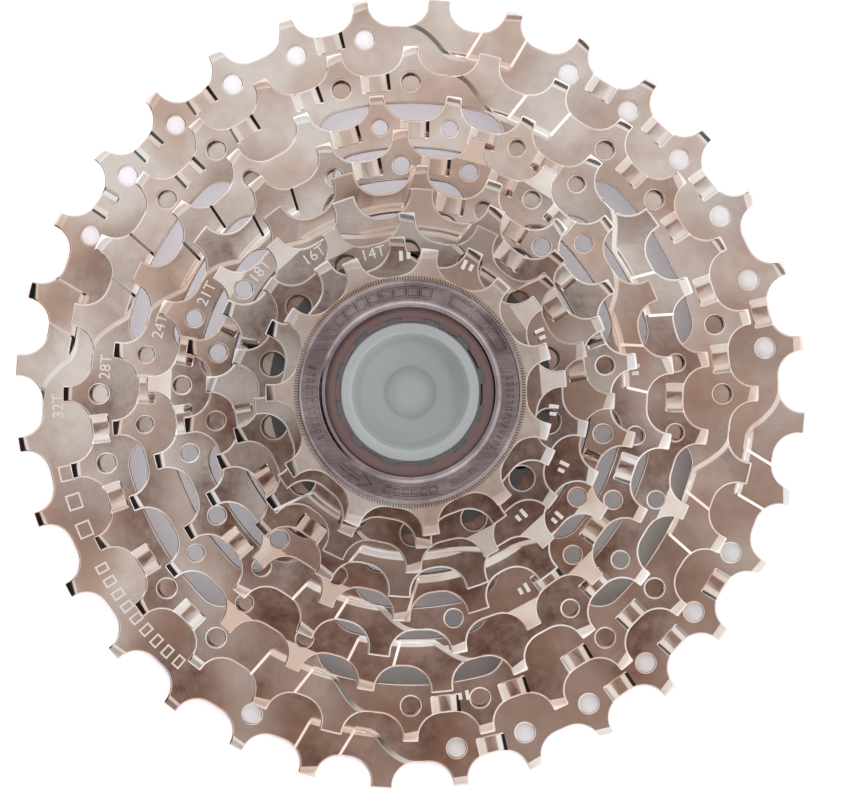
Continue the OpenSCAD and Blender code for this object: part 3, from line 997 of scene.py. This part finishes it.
def make_core(mat):
    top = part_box("shipping_core")[1].z / MM
    socket_top, socket = FLANGE_Z - 0.8, LOCK_LOW - 0.3
    floor, ledge, dish = socket - 3, NOTCH_RING_Z - 0.4, socket - 1
    profile = [(TUBE_R, 0.3), (TUBE_R + 0.3, 0)]
    profile += rounded((CORE_R, 0), (TUBE_R, 0), (CORE_R, 9), 0.4)
    profile += rounded((CORE_R, socket_top), (CORE_R, 0), (SOCKET_R, socket_top), 0.3)
    profile += rounded((SOCKET_R, socket_top), (CORE_R, socket_top), (SOCKET_R, socket), 0.3)
    profile += [(SOCKET_R, socket + 0.1), (SOCKET_R - 0.1, socket), (LEDGE_R, socket)]
    profile += rounded((LEDGE_R, ledge), (LEDGE_R, socket), (NOSE_R, ledge), 0.2)
    profile += [(NOSE_R, ledge)]
    profile += rounded((NOSE_R, top), (NOSE_R, ledge), (NOSE_BORE_R, top), 0.28)
    profile += rounded((NOSE_BORE_R, top), (NOSE_R, top), (NOSE_BORE_R - 0.1, dish), 0.45)
    profile += [(NOSE_BORE_R - 0.2, dish + 4.4)]
    sweep = smooth_line([(NOSE_BORE_R - 0.3, dish + 3.3), (NOSE_BORE_R - 0.75, dish + 2.1),
                         (8, dish + 1.25), (6.9, dish + 0.62), (5.6, dish + 0.24),
                         (4.6, dish + 0.06), (4.2, dish + 0.1)], 4)
    profile += [tuple(p) for p in sweep]
    dome = smooth_line([(4.05, dish + 0.25), (3.6, dish + 0.72), (2.7, dish + 1.25), (1.6, dish + 1.62),
                        (0.7, dish + 1.78), (0, dish + 1.8)], 4)
    profile += [tuple(p) for p in dome]
    profile += [(0, floor), (TUBE_R - 1, floor), (TUBE_R, floor - 1)]

    def shape(r, z, a):
        if r < SOCKET_R + 0.35 or z > socket_top + 0.01:
            return r, z
        at = (90 - a) % 360
        k = round(at * TABS / 360) % TABS
        off = math.radians((at - k * 360 / TABS + 180) % 360 - 180)
        w = (NARROW_TAB_W if k == 0 else TAB_W) + 2 * CORE_GAP
        in_groove = abs(math.sin(off)) * r < w / 2
        return (min(r, CORE_GROOVE_R) if in_groove else r), z

    points, faces = lathe(profile, 540, shape)
    obj = finish_mesh("packing_core", points, faces, limit=38, weld=0.0005)
    return dress(obj, mat, "core_plastic", "core", "shipping_core")


# ---- stamped marks
# Tooth counts, by sprocket: the angle and radius of the middle of the mark
COUNT_MARKS = {0: (268, 58.2), 1: (275, 50.3), 2: (285, 42.4), 3: (296, 36.9), 4: (309, 31.4),
               5: (325, 27.1), 6: (345, 23.1)}
# Plain open frames along the largest sprocket: angle, radius, half width, half height
FRAME_MARKS = [(a, 58.3, 1.35, 1.25) for a in (257, 252.2, 247.4)]
FRAME_MARKS += [(240.5 - 2.45 * k, 58.5, 0.75, 1.05) for k in range(9)]
# Pairs of short bars on other plates: sprocket, angle, radius
PAIR_MARKS = [(7, -2.3, 21.9), (7, 24.5, 22.2), (5, 116, 27.4), (5, 138, 26.7), (4, 130.5, 31.2),
              (7, 66, 22.9), (4, 205, 31.4), (2, 171, 42.2), (1, 170, 50.4), (3, 150, 36.9),
              (6, 97, 23.2), (3, 84, 36.8)]
# A mark stands this far out of its plate, and is this thick. The size of the counts' figures.
STAMP_LIFT = 0.1
STAMP_T = 0.2
COUNT_SIZE = 2.6


def text_points(text, size):
    curve = bpy.data.curves.new("letters", "FONT")
    curve.body = text
    curve.size = size
    curve.align_x = "CENTER"
    curve.align_y = "CENTER"
    curve.resolution_u = 3
    temp = bpy.data.objects.new("letters", curve)
    bpy.context.collection.objects.link(temp)
    bpy.context.view_layer.update()
    mesh = temp.to_mesh()
    flat = [(v.co.x, v.co.y) for v in mesh.vertices]
    faces = [tuple(f.vertices) for f in mesh.polygons]
    temp.to_mesh_clear()
    bpy.data.objects.remove(temp)
    bpy.data.curves.remove(curve)
    return flat, faces


def raised(flat, faces, low, high):
    """A flat figure made solid between two heights."""
    n = len(flat)
    points = [(x, y, high) for x, y in flat] + [(x, y, low) for x, y in flat]
    solid = []
    edges = {}
    for f in faces:
        a = area(np.array([flat[v] for v in f]))
        f = f if a > 0 else f[::-1]
        solid.append(tuple(f))
        solid.append(tuple(v + n for v in f[::-1]))
        for k, v in enumerate(f):
            edges[(v, f[(k + 1) % len(f)])] = True
    for a, b in edges:
        if (b, a) not in edges:
            solid.append((b, a, a + n, b + n))
    return points, solid


def box_loop(half_w, half_h, x=0.0):
    low, high = x - half_w, x + half_w
    return np.array([(low, -half_h), (high, -half_h), (high, half_h), (low, half_h)])


def open_frame(at, r, half_w, half_h, high):
    outer, inner = box_loop(half_w, half_h), box_loop(half_w - MARK_LINE, half_h - MARK_LINE)
    both = turned(np.vstack([outer, inner]), at) + spot(at, r)
    quads = [(k, (k + 1) % 4, 4 + (k + 1) % 4, 4 + k) for k in range(4)]
    return raised(both.tolist(), quads, high - STAMP_T, high)


def bar_pair(at, r, high):
    """A long bar and a short one side by side."""
    both = np.vstack([box_loop(0.3, 0.8, -0.6), box_loop(0.3, 0.55, 0.6)])
    both = turned(both, at) + spot(at, r)
    return raised(both.tolist(), [(0, 1, 2, 3), (4, 5, 6, 7)], high - STAMP_T, high)


def make_stamps(mat):
    for i, (at, r) in COUNT_MARKS.items():
        flat, faces = text_points("%dT" % TEETH[i], COUNT_SIZE)
        placed = turned(flat, at) + spot(at, r)
        high = BACK_Z[i] + PLATE_T + STAMP_LIFT
        points, faces = raised(placed.tolist(), faces, high - STAMP_T, high)
        obj = finish_mesh("count_%d" % TEETH[i], points, faces)
        dress(obj, mat, "sprocket_nickel", "stack")
    high = PLATE_T + STAMP_LIFT
    parts = [open_frame(at, r, half_w, half_h, high) for at, r, half_w, half_h in FRAME_MARKS]
    points, faces = joined(*parts)
    dress(finish_mesh("stamped_frames", points, faces), mat, "sprocket_nickel", "stack")
    for i in sorted({m[0] for m in PAIR_MARKS}):
        high = BACK_Z[i] + PLATE_T + STAMP_LIFT
        parts = [bar_pair(at, r, high) for k, at, r in PAIR_MARKS if k == i]
        points, faces = joined(*parts)
        obj = finish_mesh("stamped_pairs_%d" % TEETH[i], points, faces)
        dress(obj, mat, "sprocket_nickel", "stack")


# ---- paper, light and camera
# The paper glows, a painted light. Under the part the glow is this much at the axle, and this much more a
# metre along X and Y: a painted shadow, darker towards the lower right. From the first radius to the
# second, in metres, it brightens to full.
SHADOWED_GLOW = 0.30
SHADOWED_GLOW_XY = (-4.0, 6.0)
PAPER_EDGE = (0.055, 0.066)


def backdrop():
    """White paper with a painted glow, weaker under the part as a painted shadow."""
    bpy.ops.mesh.primitive_plane_add(size=6)
    floor = bpy.context.object
    floor.name = "floor"
    mat, nodes, links, shader = new_material("paper")
    clouds = noise(nodes, links, 3, 2.0)
    whites = [(0.3, (0.88, 0.88, 0.89)), (0.7, (0.90, 0.90, 0.91))]
    tint = ramp(nodes, links, clouds.outputs["Fac"], whites)
    links.new(tint.outputs["Color"], shader.inputs["Base Color"])
    shader.inputs["Roughness"].default_value = 0.9
    where = nodes.new("ShaderNodeTexCoord")
    axes = nodes.new("ShaderNodeSeparateXYZ")
    links.new(where.outputs["Object"], axes.inputs["Vector"])
    outside = smooth_step(nodes, links, axis_distance(nodes, links), *PAPER_EDGE)
    # Painted shadow: the glow drops under the part, more towards the lower right.
    along_x, along_y = SHADOWED_GLOW_XY
    under = math_node(nodes, links, "MULTIPLY_ADD", axes.outputs["Y"], along_y, SHADOWED_GLOW)
    under = math_node(nodes, links, "MULTIPLY_ADD", axes.outputs["X"], along_x, under, clamp=True)
    glow = nodes.new("ShaderNodeMix")
    links.new(outside, glow.inputs["Factor"])
    links.new(under, glow.inputs[2])
    glow.inputs[3].default_value = 1.0
    shader.inputs["Emission Color"].default_value = (0.60, 0.585, 0.65, 1)
    links.new(glow.outputs[0], shader.inputs["Emission Strength"])
    floor.data.materials.append(mat)


# What stands round the object, by direction clockwise from +Y: its brightness half way up, and
# lower down
SURROUND = [(-180, 0.9), (-146, 0.65), (-130, 0.02), (-78, 0.02), (-66, 0.85), (-12, 0.85),
            (2, 0.5), (24, 0.12), (52, 0.12), (66, 1.0), (120, 1.05), (180, 0.9)]
LOWER = [(-180, 1.4), (-146, 0.9), (-130, 0.02), (-78, 0.02), (-66, 1.6), (180, 1.4)]
BRIGHTEST = 1.6
# The ceiling right above, towards the top and the bottom of the view, and in its middle, and the
# brighter band round it. The angles are from straight up.
CEILING_TOP = (0.80, 0.755, 0.72)
CEILING_BOTTOM = (0.37, 0.25, 0.20)
CEILING_MIDDLE = (0.11, 0.045, 0.03)
# The top colour's share straight up, and how it grows along a direction's x and y
TOP_SHARE = 0.62
TOP_SHARE_XY = (-4.0, 9.0)
# The middle of the dark part and where it fades out, as a direction's x and y
MIDDLE_AT = (0.001, -0.007)
MIDDLE_FROM = (0.022, 0.060)
BAND = (1.0, 0.975, 0.94)
BAND_FROM = (8, 17)
SURROUND_FROM = (38, 48)
LOWER_FROM = (58, 68)


def surround_colour(nodes, links, share, pattern):
    stops = [((a + 180) / 360, (v / BRIGHTEST,) * 3) for a, v in pattern]
    grey = ramp(nodes, links, share, stops)
    bright = nodes.new("ShaderNodeVectorMath")
    bright.operation = "SCALE"
    bright.inputs["Scale"].default_value = BRIGHTEST
    links.new(grey.outputs["Color"], bright.inputs[0])
    return bright.outputs["Vector"]


def studio():
    """A soft surround that depends only on the direction."""
    world = bpy.data.worlds.new("studio")
    bpy.context.scene.world = world
    world.use_nodes = True
    nodes, links = world.node_tree.nodes, world.node_tree.links
    calc, step, mix = [partial(f, nodes, links) for f in (math_node, smooth_step, mixed)]
    where = nodes.new("ShaderNodeTexCoord")
    axes = nodes.new("ShaderNodeSeparateXYZ")
    links.new(where.outputs["Generated"], axes.inputs["Vector"])
    x, y, z = axes.outputs
    from_top = calc("ARCCOSINE", z)
    round_it = calc("ARCTAN2", x, y)
    share = calc("MULTIPLY_ADD", round_it, 1 / (2 * math.pi), 0.5)
    walls = [surround_colour(nodes, links, share, pattern) for pattern in (SURROUND, LOWER)]
    lower = step(from_top, *[math.radians(a) for a in LOWER_FROM])
    wall = mix(lower, *walls)
    along_x, along_y = TOP_SHARE_XY
    lean = calc("MULTIPLY_ADD", y, along_y, TOP_SHARE)
    lean = calc("MULTIPLY_ADD", x, along_x, lean, clamp=True)
    ceiling = mix(lean, CEILING_BOTTOM, CEILING_TOP)
    low_x = calc("SUBTRACT", x, MIDDLE_AT[0])
    low_y = calc("SUBTRACT", y, MIDDLE_AT[1])
    off = calc("MULTIPLY", low_x, low_x)
    off = calc("MULTIPLY_ADD", low_y, low_y, off)
    off = calc("SQRT", off)
    middle = step(off, *MIDDLE_FROM)
    ceiling = mix(middle, CEILING_MIDDLE, ceiling)
    band = step(from_top, *[math.radians(a) for a in BAND_FROM])
    colour = mix(band, ceiling, BAND)
    outer = step(from_top, *[math.radians(a) for a in SURROUND_FROM])
    colour = mix(outer, colour, wall)
    links.new(colour, nodes["Background"].inputs["Color"])
    scene = bpy.context.scene
    scene.view_settings.view_transform = "Standard"
    scene.view_settings.look = "None"


# Where the camera stands and what it looks at, in metres, and its lens in millimetres
CAMERA_AT = (0.0022, -0.008, 1.0)
CAMERA_AIM = (0.00237, -0.00102, 0.0018)
LENS = 256


def camera():
    """Looks down on the front, with +Y upwards in the picture."""
    data = bpy.data.cameras.new("camera")
    cam = bpy.data.objects.new("camera", data)
    bpy.context.collection.objects.link(cam)
    place, aim = Vector(CAMERA_AT), Vector(CAMERA_AIM)
    back = (place - aim).normalized()
    right = Vector((0, 1, 0)).cross(back).normalized()
    up = back.cross(right)
    cam.matrix_world = Matrix.Translation(place) @ Matrix((right, up, back)).transposed().to_4x4()
    data.lens = LENS
    data.clip_end = 20
    bpy.context.scene.camera = cam


# The plating's two tints and how rough it is, bright or satin. Each sprocket's tints are scaled by its
# own share, darker towards the 14-tooth one: painted shade, for the darker reflections the inner plates
# catch.
NICKEL_LIGHT = (0.84, 0.80, 0.775)
NICKEL_DARK = (0.66, 0.51, 0.44)
BRIGHT = (0.07, 0.13)
SATIN = (0.24, 0.36)
PLATE_PAINTED_SHADE = [1, 1, 0.98, 0.95, 0.86, 0.78, 0.64, 0.72, 0.76]


def main():
    for i in range(len(TEETH)):
        rough = SATIN if TEETH[i] == 11 else BRIGHT
        light = [v * PLATE_PAINTED_SHADE[i] for v in NICKEL_LIGHT]
        dark = [v * PLATE_PAINTED_SHADE[i] for v in NICKEL_DARK]
        mat = nickel("nickel_%d" % TEETH[i], light, dark, (i * 0.3, 0, 0), rough)
        make_cog(i, mat)
    # The lockring is painted dark inside its ridge: a painted dark reflection.
    inner = (RIDGE_R - 0.3) * MM
    light, dark = (0.44, 0.385, 0.405), (0.23, 0.19, 0.21)
    make_lockring(turned_steel("ring_steel", light, dark, (0.12, 0.28), inner))
    light, dark = (0.43, 0.455, 0.465), (0.39, 0.415, 0.425)
    make_core(plastic("core_plastic", light, dark, (0.16, 0.22), 0.3))
    # The stamps take a rougher nickel. Its paler tint is painted highlight, for the light that the
    # stamped edges catch.
    light, dark = (0.95, 0.93, 0.90), (0.88, 0.85, 0.81)
    make_stamps(nickel("nickel_stamped", light, dark, (0, 0.3, 0), (0.35, 0.5)))
    spacer = plastic("spacer_plastic", (0.16, 0.16, 0.17), (0.10, 0.10, 0.11))
    steel = turned_steel("plain_steel", (0.75, 0.72, 0.70), (0.6, 0.57, 0.55))
    looks = {"cluster_rivets": steel, "lockring_washer": steel}
    for name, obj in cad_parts.items():
        look = spacer if name.startswith("spacer") else looks.get(name)
        for slot in obj.material_slots if look else []:
            slot.material = look


camera()
main()
backdrop()
studio()
